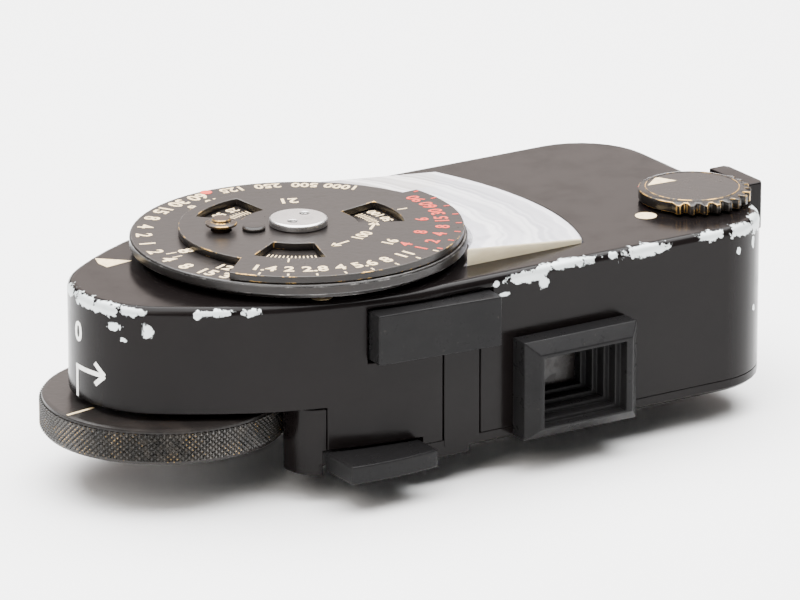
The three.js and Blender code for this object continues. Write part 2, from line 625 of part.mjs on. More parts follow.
add(filmDisc, "aperture_disc", apertureDisc(), BLACK_METAL);
const studHead = turned([[0, 2.31], [STUD.headR, 2.31], [STUD.headR, 2.55], [0.7, 2.72], [0, 2.72]], 20);
add(filmDisc, "stop_stud", studHead.translate(...polar(STUD.r, STUD.deg), 0), BLACK_METAL);
add(latch, "latch_pin", latchPin(), BRASS);

add(wheel, "coupling_wheel", couplingWheel(), BLACK_METAL);
add(wheel, "wheel_shaft", wheelShaft(), STEEL);
add(wheel, "wheel_gear", gear(GEAR.teeth, 1.25, 0), BRASS);
add(idler, "idler_gear", gear(GEAR.idlerTeeth, 0.65, 0.5), BRASS);
add(casing, "idler_pin", post(idler.position.x, 0, 0.6, -7.93, GEAR.z1 + 0.5, 14), STEEL);
add(wheel, "coupling_pin", couplingPin(), STEEL);

add(rangeKnob, "range_knob_top", rangeKnobTop(), BLACK_METAL);
add(rangeKnob, "knob_shaft", knobShaft(), STEEL);
add(rangeKnob, "range_wiper", rangeWiper(), BRASS);

add(needle, "needle_pointer", pointer(), RED);
add(needle, "moving_coil", coil(), BRASS);

add(button, "measuring_button", prism(buttonPlan(0), ...BUTTON.z), PLASTIC);
add(button, "button_spring", coilSpring(1.1, 0.18, 3, 1.8).translate(4.0, BUTTON.inner + 0.3, -3.1), STEEL);
add(shoeCatch, "catch_lever", shoeCatchLever(), PLASTIC);
add(shoeCatch, "catch_spring", coilSpring(0.6, 0.12, 3, 1.6).translate(1.0, -9.1, -12.0), STEEL);
add(slide, "test_slide_plate", testSlide(), BLACK_METAL);
add(cover, "battery_cover_disc", batteryCover(), BLACK_METAL);

const meter = new THREE.Group();
meter.position.set(-FOOT.x, -FOOT.y, -FOOT.z[0]);
meter.add(...parts.values());

export default meter;
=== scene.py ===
# %% [markdown]
# # A camera-top light meter, finished around its CAD frame
# The frame holds the real sizes, the bodies and the joints. This lesson adds what the eye
# needs: chipped enamel, a knurled wheel, worn dials with painted figures, a clear window and
# moulded black trim. Each visible piece stands for one CAD node and rides on the same body.

# %% Load the frame
import json
import math

import bmesh
import bpy
from mathutils import Matrix, Vector


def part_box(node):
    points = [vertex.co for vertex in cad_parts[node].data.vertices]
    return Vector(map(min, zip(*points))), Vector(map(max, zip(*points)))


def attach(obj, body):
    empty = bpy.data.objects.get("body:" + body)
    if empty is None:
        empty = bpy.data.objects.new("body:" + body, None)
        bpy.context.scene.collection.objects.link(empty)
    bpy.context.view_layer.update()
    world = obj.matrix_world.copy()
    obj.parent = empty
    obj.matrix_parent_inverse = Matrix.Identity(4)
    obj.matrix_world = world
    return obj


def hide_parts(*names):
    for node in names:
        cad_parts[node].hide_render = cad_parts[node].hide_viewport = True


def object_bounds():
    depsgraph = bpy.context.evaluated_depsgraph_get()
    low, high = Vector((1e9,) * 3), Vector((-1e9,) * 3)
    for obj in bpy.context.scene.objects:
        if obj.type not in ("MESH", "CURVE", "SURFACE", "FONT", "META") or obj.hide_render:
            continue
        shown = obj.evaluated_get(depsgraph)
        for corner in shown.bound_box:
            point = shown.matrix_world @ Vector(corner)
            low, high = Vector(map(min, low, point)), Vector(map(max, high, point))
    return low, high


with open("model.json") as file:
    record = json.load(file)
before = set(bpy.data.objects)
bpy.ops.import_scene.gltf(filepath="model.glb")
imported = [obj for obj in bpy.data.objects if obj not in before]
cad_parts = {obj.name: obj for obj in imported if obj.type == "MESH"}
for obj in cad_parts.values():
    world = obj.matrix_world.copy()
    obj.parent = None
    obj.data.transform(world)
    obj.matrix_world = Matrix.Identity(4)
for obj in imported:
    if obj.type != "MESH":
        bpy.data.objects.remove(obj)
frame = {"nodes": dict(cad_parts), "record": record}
cad_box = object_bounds()
MM = 0.001

# %% [markdown]
# The drawing of a meter like this starts at the dial's axis and the housing's top face, so
# the finish does too. One helper turns millimetres from that point into the frame's metres.

# %% Measure the frame
dial_low, dial_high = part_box("speed_disc")
DIAL_AXIS = (dial_low + dial_high) / 2
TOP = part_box("top_housing")[1].z
DIAL_R = (dial_high.x - dial_low.x) / 2 / MM
wheel_low, wheel_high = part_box("coupling_wheel")
WHEEL_AXIS = (wheel_low + wheel_high) / 2
WHEEL_R = (wheel_high.x - wheel_low.x) / 2 / MM


def place(x, y, z=0.0):
    """Millimetres from the dial axis at the housing's top face, as a point in the frame."""
    return Vector((DIAL_AXIS.x + x * MM, DIAL_AXIS.y + y * MM, TOP + z * MM))


def height(z):
    """A frame height as millimetres above the housing's top face."""
    return (z - TOP) / MM


def polar(radius, degrees):
    turn = math.radians(degrees)
    return radius * math.cos(turn), radius * math.sin(turn)


WHEEL_X = (WHEEL_AXIS.x - DIAL_AXIS.x) / MM
print(f"dial radius {DIAL_R:.2f} mm, wheel radius {WHEEL_R:.2f} mm, axes {-WHEEL_X:.2f} mm apart")

# %% [markdown]
# A long lens from low on the left shows the front, the dial and the round nose together.
# The camera comes first, because every later choice is judged through it.

# %% Camera
AZIMUTH, ELEVATION = math.radians(-32.45), math.radians(18.52)
DISTANCE = 0.6163
FOCAL_LENGTH = 336.4
SENSOR_WIDTH = 36
target = place(9.8, 0.0, -5.96)
back = Vector(
    (
        math.sin(AZIMUTH) * math.cos(ELEVATION),
        -math.cos(AZIMUTH) * math.cos(ELEVATION),
        math.sin(ELEVATION),
    )
)
camera = bpy.data.objects.new("camera", bpy.data.cameras.new("camera"))
camera.data.lens = FOCAL_LENGTH
camera.data.sensor_width = SENSOR_WIDTH
camera.data.clip_start = 0.01
camera.location = target + back * DISTANCE
camera.rotation_mode = "QUATERNION"
camera.rotation_quaternion = (-back).to_track_quat("-Z", "Y")
bpy.context.scene.collection.objects.link(camera)
bpy.context.scene.camera = camera

# %% [markdown]
# Black enamel shows what it reflects, not its own colour. Broad soft boxes behind and above
# draw the light rims on the top edge, and the pale floor lifts the front face a little.

# %% Light and floor
ROOM_LIGHT = 0.2
world = bpy.data.worlds.new("studio")
world.use_nodes = True
world.node_tree.nodes["Background"].inputs["Color"].default_value = (1.0, 1.0, 1.0, 1.0)
world.node_tree.nodes["Background"].inputs["Strength"].default_value = ROOM_LIGHT
bpy.context.scene.world = world


def softbox(name, direction, distance, size, power, colour=(1.0, 1.0, 1.0)):
    data = bpy.data.lights.new(name, "AREA")
    data.color = colour
    data.shape = "RECTANGLE"
    data.size, data.size_y = size
    data.energy = power
    lamp = bpy.data.objects.new(name, data)
    way = Vector(direction).normalized()
    lamp.location = target + way * distance
    lamp.rotation_mode = "QUATERNION"
    lamp.rotation_quaternion = way.to_track_quat("Z", "Y")
    bpy.context.scene.collection.objects.link(lamp)


softbox("overhead", (0.05, 0.1, 1.0), 0.45, (0.7, 0.7), 21.0)
softbox("high_left", (-0.9, -0.5, 0.9), 0.6, (0.35, 0.35), 2.5, (1.0, 0.95, 0.9))
softbox("right_rear", (0.6, 1.0, 0.50), 0.6, (0.6, 0.3), 1.2, (1.0, 0.86, 0.80))

# %% [markdown]
# A finish is a node tree. The class below keeps each recipe short: it makes a node, feeds its
# sockets and returns what the next line needs. Patterns read Object coordinates, which here
# are the frame's own metres, so a chip can be put exactly where a thumb wears the edge.


# %% Finish recipes
class Finish:
    def __init__(self, name, **surface):
        self.material = bpy.data.materials.new(name)
        self.material.use_nodes = True
        self.tree = self.material.node_tree
        self.tree.nodes.clear()
        self.surface = self.node("ShaderNodeBsdfPrincipled")
        output = self.node("ShaderNodeOutputMaterial")
        self.tree.links.new(self.surface.outputs[0], output.inputs["Surface"])
        self.coords = self.node("ShaderNodeTexCoord").outputs["Object"]
        for socket, value in surface.items():
            self.set(socket.replace("_", " "), value)

    def node(self, kind, inputs=None, **settings):
        made = self.tree.nodes.new(kind)
        for key, value in settings.items():
            setattr(made, key, value)
        for key, value in (inputs or {}).items():
            self.feed(made.inputs[key], value)
        return made

    def feed(self, socket, value):
        if isinstance(value, bpy.types.NodeSocket):
            self.tree.links.new(value, socket)
        else:
            socket.default_value = value

    def set(self, socket, value):
        self.feed(self.surface.inputs[socket], value)

    def calc(self, operation, first, second=0.0):
        return self.node("ShaderNodeMath", {0: first, 1: second}, operation=operation).outputs[0]

    def step(self, value, low, high, to=(0.0, 1.0)):
        inputs = {"Value": value, "From Min": low, "From Max": high, "To Min": to[0], "To Max": to[1]}
        return self.node("ShaderNodeMapRange", inputs, interpolation_type="SMOOTHSTEP").outputs[0]

    def noise(self, grain_mm, detail=3.0, rough=0.55, coords=None):
        inputs = {
            "Vector": coords or self.coords,
            "Scale": 1 / (grain_mm * MM),
            "Detail": detail,
            "Roughness": rough,
        }
        return self.node("ShaderNodeTexNoise", inputs).outputs[0]

    def mix(self, share, first, second):
        inputs = {0: share, 6: first, 7: second}
        return self.node("ShaderNodeMix", inputs, data_type="RGBA").outputs[2]

    def bump(self, height_socket, depth_mm, strength=1.0):
        inputs = {"Height": height_socket, "Distance": depth_mm * MM, "Strength": strength}
        self.set("Normal", self.node("ShaderNodeBump", inputs).outputs[0])

    def offset(self, centre, size=(1.0, 1.0, 1.0), turn=0.0):
        """Coordinates measured from a centre, turned about Z and divided by a size."""
        inputs = {"Vector": self.coords, "Location": centre, "Rotation": (0, 0, turn), "Scale": size}
        return self.node("ShaderNodeMapping", inputs, vector_type="TEXTURE").outputs[0]

    def length(self, vector):
        return self.node("ShaderNodeVectorMath", {0: vector}, operation="LENGTH").outputs["Value"]

    def radius(self, axis):
        """Distance from an upright axis, in millimetres."""
        flat = self.offset((axis.x, axis.y, 0), (MM, MM, 1e6))
        return self.length(flat)


CREAM = (0.80, 0.62, 0.36, 1)
CHALK = (0.86, 0.86, 0.82, 1)
RED = (0.58, 0.035, 0.015, 1)
CHARCOAL = (0.0030, 0.0024, 0.0025, 1)
CHARCOAL_WARM = (0.0058, 0.0045, 0.0043, 1)
BARE_METAL = (0.74, 0.78, 0.78, 1)
BRASS = (0.60, 0.36, 0.11, 1)
print("finish recipes ready")

# %% [markdown]
# The housing is enamelled metal that has been carried for years. The coat stays charcoal and
# even on the flats, and it has flaked to pale metal along the top edge, where a case rubs it.
# Each flake field is an ellipsoid of influence, and noise cuts its ragged outline.

# %% Chipped enamel
# Centre x, y, z, half sizes along, across and up, all in millimetres, and the turn in degrees.
CHIP_FIELDS = [
    (-20.1, 2.4, -0.45, 1.7, 1.0, 0.45, 72),
    (-20.5, -0.4, -0.45, 2.0, 1.0, 0.72, 93),
    (-20.0, -2.9, -0.50, 1.9, 1.0, 0.72, 111),
    (-18.8, -5.0, -0.45, 1.5, 1.0, 0.50, 129),
    (-19.6, -3.8, -1.85, 0.8, 0.9, 0.42, 118),
    (-19.2, -4.4, -2.85, 0.3, 0.6, 0.25, 122),
    (-17.9, -5.95, -1.95, 0.62, 0.9, 0.80, 138),
    (-13.3, -9.1, -0.40, 1.9, 0.8, 0.34, 152),
    (-14.6, -8.35, -0.55, 0.4, 0.8, 0.50, 150),
    (-10.8, -10.3, -0.45, 0.9, 0.8, 0.42, 158),
    (13.2, -13.7, -0.70, 2.6, 0.9, 0.62, 0),
    (17.0, -13.6, -0.30, 3.3, 0.8, 0.48, 0),
    (14.8, -13.9, -1.40, 0.6, 0.6, 0.55, 0),
    (10.2, -13.8, -0.75, 0.42, 0.7, 0.36, 0),
    (10.9, -13.9, -1.75, 0.7, 0.5, 0.22, 0),
    (21.6, -13.7, -0.40, 0.5, 0.7, 0.36, 0),
    (24.7, -13.7, -0.50, 2.9, 0.9, 0.62, 0),
    (31.4, -13.7, -0.40, 1.9, 0.9, 0.50, 0),
    (34.6, -13.6, -0.50, 2.2, 1.0, 0.70, 14),
    (37.0, -12.2, -0.65, 1.9, 1.2, 0.92, 46),
    (38.4, -10.2, -0.75, 1.6, 1.0, 1.00, 70),
    (34.2, -13.8, -2.10, 0.26, 0.6, 0.42, 10),
    (36.2, -13.0, -1.95, 0.28, 0.6, 0.60, 35),
    (36.5, -12.8, -7.8, 0.4, 0.7, 0.35, 38),
]


def flaked(finish):
    """Share of bare metal from 0 to 1, with a sharp ragged edge."""
    nearest = -1.0
    for x, y, z, along, across, up, turn in CHIP_FIELDS:
        size = (along * MM, across * MM, up * MM)
        distance = finish.length(finish.offset(place(x, y, z), size, math.radians(turn)))
        nearest = finish.calc("MAXIMUM", nearest, finish.calc("SUBTRACT", 1.0, distance))
    ragged = finish.calc("MULTIPLY", finish.noise(0.7, 6.0, 0.7), 2.6)
    field = finish.calc("ADD", nearest, finish.calc("SUBTRACT", ragged, 1.42))
    near = finish.step(nearest, -0.65, -0.25)
    return finish.calc("MULTIPLY", finish.step(field, 0.10, 0.14), near)


def specks(finish, spacing_mm, share):
    """Rare pin-head nicks scattered over a coat."""
    inputs = {"Vector": finish.coords, "Scale": 1 / (spacing_mm * MM)}
    cells = finish.node("ShaderNodeTexVoronoi", inputs)
    cell_red = finish.node("ShaderNodeSeparateColor", {0: cells.outputs["Color"]}).outputs[0]
    chosen = finish.step(cell_red, share, 0)
    dot = finish.step(cells.outputs["Distance"], 0.07, 0.045)
    return finish.calc("MULTIPLY", dot, finish.calc("GREATER_THAN", chosen, 0.5))


def enamel(name):
    finish = Finish(name, IOR=1.3, Specular_IOR_Level=0.2)
    cloud = finish.noise(7.0, 4.0)
    coat = finish.mix(cloud, CHARCOAL, CHARCOAL_WARM)
    nicks = specks(finish, 1.5, 0.035)
    bare = finish.calc("MAXIMUM", flaked(finish), nicks)
    tarnish = finish.mix(finish.noise(1.4, 3.0), BARE_METAL, (0.50, 0.55, 0.55, 1))
    finish.set("Base Color", finish.mix(bare, coat, tarnish))
    finish.set("Metallic", finish.calc("MULTIPLY", bare, 0.35))
    handled = finish.step(finish.noise(3.0, 4.0, 0.6), 0.35, 0.75, (0.16, 0.27))
    finish.set("Roughness", finish.calc("ADD", handled, finish.calc("MULTIPLY", bare, 0.25)))
    relief = finish.calc("SUBTRACT", finish.calc("MULTIPLY", finish.noise(0.45, 2.0), 0.05), bare)
    finish.bump(relief, 0.035, 0.7)
    return finish.material


ENAMEL = enamel("chipped_enamel")
print("chipped enamel has", len(CHIP_FIELDS), "flake fields")

# %% [markdown]
# The discs, the knob and the wheel are brass under a thin black finish. Two materials tell
# that story: a dusty black for the faces, and a rubbed edge whose noise lets the brass
# through. The bevels of each piece take the rubbed edge, so the wear sits on real geometry.


# %% Black over brass
def dusty_black(name, base=(0.010, 0.0085, 0.0080, 1), rough=0.30):
    finish = Finish(name, IOR=1.36, Specular_IOR_Level=0.35)
    patches = finish.step(finish.noise(2.4, 5.0, 0.6), 0.40, 0.80)
    brown = finish.mix(patches, base, (0.019, 0.0155, 0.0135, 1))
    dust = finish.step(finish.noise(0.28, 3.0, 0.7), 0.68, 0.78, (0.0, 0.4))
    dusted = finish.mix(dust, brown, (0.13, 0.11, 0.09, 1))
    pits = specks(finish, 0.9, 0.45)
    finish.set("Base Color", finish.mix(pits, dusted, (0.001, 0.001, 0.001, 1)))
    worn_smooth = finish.step(patches, 0.0, 1.0, (rough, rough + 0.10))
    finish.set("Roughness", finish.calc("ADD", worn_smooth, finish.calc("MULTIPLY", pits, 0.5)))
    grain = finish.calc("MULTIPLY", finish.noise(0.6, 3.0), 0.3)
    finish.bump(finish.calc("SUBTRACT", grain, pits), 0.05, 0.9)
    return finish.material


def rubbed_edge(name, amount):
    """Black that has worn through to brass on about this share of its length."""
    finish = Finish(name)
    worn = finish.step(finish.noise(1.7, 5.0, 0.68), 0.66 - 0.3 * amount, 0.76 - 0.3 * amount)
    finish.set("Base Color", finish.mix(worn, (0.018, 0.014, 0.011, 1), BRASS))
    finish.set("Metallic", finish.calc("MULTIPLY", worn, 0.9))
    finish.set("Roughness", finish.step(finish.noise(0.4), 0.3, 0.7, (0.28, 0.46)))
    finish.bump(finish.noise(0.3, 3.0), 0.01, 0.5)
    return finish.material


def knurl_finish(name):
    finish = Finish(name)
    tips = finish.step(finish.radius(WHEEL_AXIS), WHEEL_R - 0.07, WHEEL_R - 0.01)
    rubbed = finish.step(finish.noise(2.2, 4.0, 0.7), 0.50, 0.66)
    worn = finish.calc("MULTIPLY", tips, rubbed)
    grey = finish.step(finish.noise(0.6, 3.0), 0.3, 0.8)
    coat = finish.mix(grey, (0.008, 0.0075, 0.007, 1), (0.030, 0.026, 0.022, 1))
    verdigris = finish.step(finish.noise(2.9, 2.0, 0.4), 0.76, 0.80, (0.0, 0.7))
    stained = finish.mix(verdigris, coat, (0.03, 0.16, 0.17, 1))
    finish.set("Base Color", finish.mix(worn, stained, BRASS))
    finish.set("Metallic", finish.calc("MULTIPLY", worn, 0.9))
    finish.set("Roughness", finish.step(finish.noise(0.5), 0.2, 0.8, (0.28, 0.5)))
    finish.bump(finish.noise(0.25, 3.0), 0.012, 0.6)
    return finish.material


def scuffed_rim(name):
    """Black rim knocked back to a pale grey in places."""
    finish = Finish(name)
    worn = finish.step(finish.noise(2.0, 6.0, 0.7), 0.50, 0.66)
    finish.set("Base Color", finish.mix(worn, (0.008, 0.007, 0.0065, 1), (0.13, 0.125, 0.12, 1)))
    finish.set("Roughness", finish.step(finish.noise(0.4), 0.3, 0.7, (0.26, 0.42)))
    finish.bump(finish.noise(0.3, 3.0), 0.01, 0.5)
    return finish.material


DISC_BLACK = dusty_black("dusty_black")
KNOB_BLACK = dusty_black("knob_black", (0.008, 0.007, 0.0065, 1), 0.24)
WORN_EDGE = rubbed_edge("rubbed_edge", 0.62)
PART_WORN_EDGE = rubbed_edge("part_worn_edge", 0.42)
FAINT_EDGE = rubbed_edge("faint_edge", 0.15)
SCUFFED_RIM = scuffed_rim("scuffed_rim")
KNURL = knurl_finish("knurled_black")
print("black finishes ready")

# %% [markdown]
# Paint in engraved figures goes dull and cracks a little. Moulded trim keeps dust in its
# grain. Turned metal has fine rings about its own axis, so its noise is read by radius.


# %% Paint, plastic, metal and glass
def figure_paint(name, colour, dirt):
    finish = Finish(name, IOR=1.45)
    grime = finish.step(finish.noise(0.45, 4.0, 0.7), 0.46, 0.74, (0.0, dirt))
    finish.set("Base Color", finish.mix(grime, colour, (0.20, 0.13, 0.07, 1)))
    finish.set("Roughness", finish.step(finish.noise(0.3), 0.3, 0.7, (0.45, 0.65)))
    finish.bump(finish.noise(0.2, 2.0), 0.01, 0.5)
    return finish.material


def moulded_black(name, dust_share=0.3):
    finish = Finish(name, IOR=1.32, Specular_IOR_Level=0.14)
    dust = finish.step(finish.noise(0.5, 6.0, 0.75), 0.62, 0.76, (0.0, dust_share))
    tone = finish.mix(finish.noise(5.0), (0.0055, 0.0055, 0.006, 1), (0.011, 0.0105, 0.0105, 1))
    film = finish.mix(dust, tone, (0.10, 0.09, 0.08, 1))
    crumbs = specks(finish, 0.7, 0.12)
    finish.set("Base Color", finish.mix(crumbs, film, (0.42, 0.31, 0.19, 1)))
    finish.set("Roughness", finish.step(finish.noise(1.2, 4.0), 0.3, 0.7, (0.26, 0.40)))
    finish.bump(finish.noise(0.22, 3.0), 0.012, 0.6)
    return finish.material


def turned_metal(name, colour, axis, rough=0.22):
    finish = Finish(name, Metallic=1.0)
    by_radius = finish.node("ShaderNodeCombineXYZ", {0: finish.radius(axis)}).outputs[0]
    rings = finish.noise(0.09, 2.0, 0.5, by_radius)
    stain = finish.step(finish.noise(1.5, 4.0), 0.45, 0.8, (0.0, 0.4))
    finish.set("Base Color", finish.mix(stain, colour, tuple(0.45 * c for c in colour[:3]) + (1,)))
    finish.set("Roughness", finish.step(rings, 0.3, 0.7, (rough, rough + 0.2)))
    finish.bump(rings, 0.004, 0.4)
    return finish.material


def plain_metal(name, colour, rough):
    finish = Finish(name, Metallic=1.0)
    stain = finish.step(finish.noise(1.8, 4.0, 0.6), 0.45, 0.75, (0.0, 0.5))
    finish.set("Base Color", finish.mix(stain, colour, tuple(0.4 * c for c in colour[:3]) + (1,)))
    finish.set("Roughness", finish.step(finish.noise(0.7, 4.0), 0.3, 0.7, (rough, rough + 0.18)))
    finish.bump(finish.noise(0.2, 2.0), 0.006, 0.4)
    return finish.material


def clear_plastic(name):
    """Old clear plastic, milky near its rim. Its whitish colour is partly milky age and partly painted
    reflection, and lighter, more opaque sweeps about the dial's axis are painted reflection bands.
    """
    finish = Finish(name, IOR=1.49)
    drift = finish.calc("MULTIPLY", finish.noise(5.0, 2.0), 2.4 * MM)
    bent = finish.calc("ADD", finish.calc("MULTIPLY", finish.radius(DIAL_AXIS), MM), drift)
    # Painted reflection: curved bands about the dial's axis get a lighter colour and more opacity, standing in
    # for the lamps seen in the curved window.
    sweep = finish.noise(1.5, 2.0, 0.5, finish.node("ShaderNodeCombineXYZ", {0: bent}).outputs[0])
    reflection_sweeps = finish.step(sweep, 0.42, 0.62)
    finish.set("Base Color", finish.mix(reflection_sweeps, (0.74, 0.73, 0.79, 1), (0.97, 0.96, 0.98, 1)))
    rim = finish.step(finish.radius(DIAL_AXIS), 21.2, 22.6, (0.0, 0.25))
    finish.set("Alpha", finish.calc("ADD", finish.step(reflection_sweeps, 0.0, 1.0, (0.42, 0.62)), rim))
    scratches = finish.noise(0.3, 5.0, 0.7)
    finish.set("Roughness", finish.step(scratches, 0.5, 0.75, (0.03, 0.14)))
    finish.bump(scratches, 0.002, 0.2)
    return finish.material


def yellowed_edge(name):
    finish = Finish(name, IOR=1.49)
    streak = finish.noise(1.1, 4.0, 0.6, finish.offset((0, 0, 0), (2.5, 1, 1)))
    finish.set("Base Color", finish.mix(streak, (0.50, 0.40, 0.24, 1), (0.86, 0.78, 0.58, 1)))
    finish.set("Roughness", finish.step(streak, 0.3, 0.7, (0.12, 0.3)))
    finish.set("Subsurface Weight", 0.3)
    finish.set("Subsurface Radius", (0.001, 0.0008, 0.0005))
    return finish.material


def scale_card(name):
    """White scale with grey zone lines, each an arc about the dial's axis."""
    finish = Finish(name)
    line_every = 2.05
    share = finish.calc("FRACT", finish.calc("DIVIDE", finish.radius(DIAL_AXIS), line_every))
    line = finish.step(finish.calc("ABSOLUTE", finish.calc("SUBTRACT", share, 0.5)), 0.06, 0.03)
    aged = finish.mix(finish.noise(3.0, 4.0), (0.92, 0.91, 0.94, 1), (0.84, 0.83, 0.87, 1))
    finish.set("Base Color", finish.mix(finish.calc("MULTIPLY", line, 0.45), aged, (0.38, 0.37, 0.42, 1)))
    finish.set("Roughness", finish.step(finish.noise(0.6), 0.3, 0.7, (0.35, 0.55)))
    return finish.material


def dark_glass(name):
    finish = Finish(name, IOR=1.35, Specular_IOR_Level=0.4)
    depth = finish.mix(finish.noise(1.5, 3.0), (0.006, 0.005, 0.005, 1), (0.028, 0.024, 0.022, 1))
    finish.set("Base Color", depth)
    finish.set("Roughness", finish.step(finish.noise(0.5, 4.0), 0.4, 0.8, (0.22, 0.42)))
    return finish.material


CREAM_PAINT = figure_paint("cream_figures", CREAM, 0.55)
CHALK_PAINT = figure_paint("chalk_marks", CHALK, 0.18)
RED_PAINT = figure_paint("red_figures", RED, 0.45)
BLACK_TRIM = moulded_black("moulded_black")
NUT_STEEL = turned_metal("turned_steel", (0.68, 0.67, 0.66, 1), DIAL_AXIS)
STEEL = plain_metal("plain_steel", (0.55, 0.55, 0.54, 1), 0.28)
LATCH_BROWN = dusty_black("latch_brown", (0.030, 0.018, 0.011, 1), 0.32)
PLAIN_BRASS = plain_metal("plain_brass", BRASS, 0.3)
CLEAR = clear_plastic("clear_window")
CLEAR_EDGE = yellowed_edge("yellowed_edge")
SCALE = scale_card("scale_card")
# This dark finish serves the light window's lens and also the painted shade in the nut's spanner holes.
LENS_AND_HOLE_SHADE = dark_glass("dark_lens_and_hole_shade")
FIBRE = figure_paint("fibre_board", (0.16, 0.085, 0.035, 1), 0.4)
NEEDLE_BLACK = dusty_black("needle_black")

# %% [markdown]
# Metal and plastic never meet at a perfect corner. A copy of each CAD node is welded, its
# flat triangles are merged, and a small bevel rounds what is sharper than 38 degrees. The
# bevel's own faces take the edge finish. The CAD mesh itself is left alone.


# %% Softened copies of the CAD nodes
def link(mesh, name):
    made = bpy.data.objects.new(name, mesh)
    bpy.context.scene.collection.objects.link(made)
    return made


def plain_mesh(piece):
    """The piece with its modifiers worked out, as a mesh of its own."""
    bpy.context.view_layer.update()
    shown = piece.evaluated_get(bpy.context.evaluated_depsgraph_get())
    mesh = bpy.data.meshes.new_from_object(shown)
    piece.modifiers.clear()
    piece.data = mesh
    return piece


def smooth(piece, degrees=34):
    """Smooth shading in which the large flat faces keep their own direction."""
    piece.data.shade_smooth()
    piece.data.set_sharp_from_angle(angle=math.radians(degrees))
    weighting = piece.modifiers.new("face_weighting", "WEIGHTED_NORMAL")
    weighting.keep_sharp = True
    weighting.weight = 100
    return plain_mesh(piece)


def register(piece, body, slot_name, *nodes):
    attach(piece, body)
    if nodes:
        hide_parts(*nodes)
    return piece


def body_of_node(node):
    return next(body for body, members in BODIES.items() if node in members)


BODIES = frame["record"]["behaviour"]["bodies"]
SLOTS = {row["node"]: row["material_slot"] for row in frame["record"]["subparts"]}


def soften(node, name, faces, edges=None, width_mm=0.1, segments=2):
    mesh = frame["nodes"][node].data.copy()
    work = bmesh.new()
    work.from_mesh(mesh)
    bmesh.ops.remove_doubles(work, verts=work.verts, dist=2e-6)
    bmesh.ops.dissolve_limit(
        work, angle_limit=math.radians(0.6), verts=work.verts, edges=work.edges, delimit={"NORMAL"}
    )
    work.to_mesh(mesh)
    work.free()
    piece = link(mesh, name)
    mesh.materials.clear()
    mesh.materials.append(faces)
    mesh.materials.append(edges or faces)
    for face in mesh.polygons:
        face.material_index = 0
    if width_mm:
        bevel = piece.modifiers.new("bevel", "BEVEL")
        bevel.width = width_mm * MM
        bevel.segments = segments
        bevel.limit_method = "ANGLE"
        bevel.angle_limit = math.radians(38)
        bevel.use_clamp_overlap = False
        bevel.material = 1
        plain_mesh(piece)
    smooth(piece)
    return register(piece, body_of_node(node), SLOTS[node], node)


SOFTENED = [
    ("top_housing", "housing_shell", ENAMEL, None, 0.08),
    ("base_plate", "base_shell", ENAMEL, None, 0.05),
    ("shoe_foot", "foot_plate", STEEL, None, 0.12),
    ("light_window_frame", "window_bezel", BLACK_TRIM, None, 0.10),
    ("measuring_button", "button_block", BLACK_TRIM, None, 0.14),
    ("catch_lever", "catch_tab", BLACK_TRIM, None, 0.18),
    ("test_slide_plate", "slide_tab", ENAMEL, None, 0.14),
    ("speed_disc", "speed_dial", DISC_BLACK, SCUFFED_RIM, 0.06),
    ("aperture_disc", "aperture_dial", DISC_BLACK, PART_WORN_EDGE, 0.07),
    ("spanner_nut", "dial_nut", NUT_STEEL, None, 0.05),
    ("latch_pin", "latch_button", LATCH_BROWN, WORN_EDGE, 0.07),
    ("stop_stud", "stud_head", DISC_BLACK, FAINT_EDGE, 0.06),
    ("range_knob_top", "knob_cap", KNOB_BLACK, WORN_EDGE, 0.07),
    ("battery_cover_disc", "battery_lid", DISC_BLACK, FAINT_EDGE, 0.10),
    ("needle_window", "clear_window_top", CLEAR, CLEAR, 0.22),
]
made = {name: soften(node, name, *rest) for node, name, *rest in SOFTENED}
window = made["clear_window_top"].data
window.materials[1] = CLEAR_EDGE
for face in window.polygons:
    face.material_index = 1 if abs(face.normal.y) > 0.8 else 0
print("softened pieces:", len(made))

# %% [markdown]
# What stays inside, and the small fixings, keep their CAD mesh and only take a finish.

# %% Finishes for the carried-over nodes
INNER = {
    STEEL: ["magnet_ring", "battery_cell", "dial_shaft", "wheel_shaft", "knob_shaft", "idler_pin",
            "coupling_pin", "button_spring", "catch_spring"]
    + [f"foot_screw_{i}" for i in range(1, 5)],
    PLAIN_BRASS: ["dial_bush", "knob_bush", "wheel_bush", "movement_frame", "battery_contact", "dial_gear",
                  "wheel_gear", "idler_gear", "range_wiper", "moving_coil"],
    FIBRE: ["photocell", "circuit_board", "resistor_low", "resistor_high"],
    DISC_BLACK: [f"case_screw_{i}" for i in range(1, 5)],
    SCALE: ["scale_plate"],
    LENS_AND_HOLE_SHADE: ["light_window_lens"],
    NEEDLE_BLACK: ["needle_pointer"],
}
for finish, nodes in INNER.items():
    for node in nodes:
        mesh = frame["nodes"][node].data
        mesh.materials.clear()
        mesh.materials.append(finish)
print("carried-over nodes:", sum(len(nodes) for nodes in INNER.values()))

# %% [markdown]
# Geometry Nodes cut what repeats. A recipe is a tree with named inputs. Baking it runs the
# tree once on an empty object and keeps the plain mesh, with no modifier left behind.


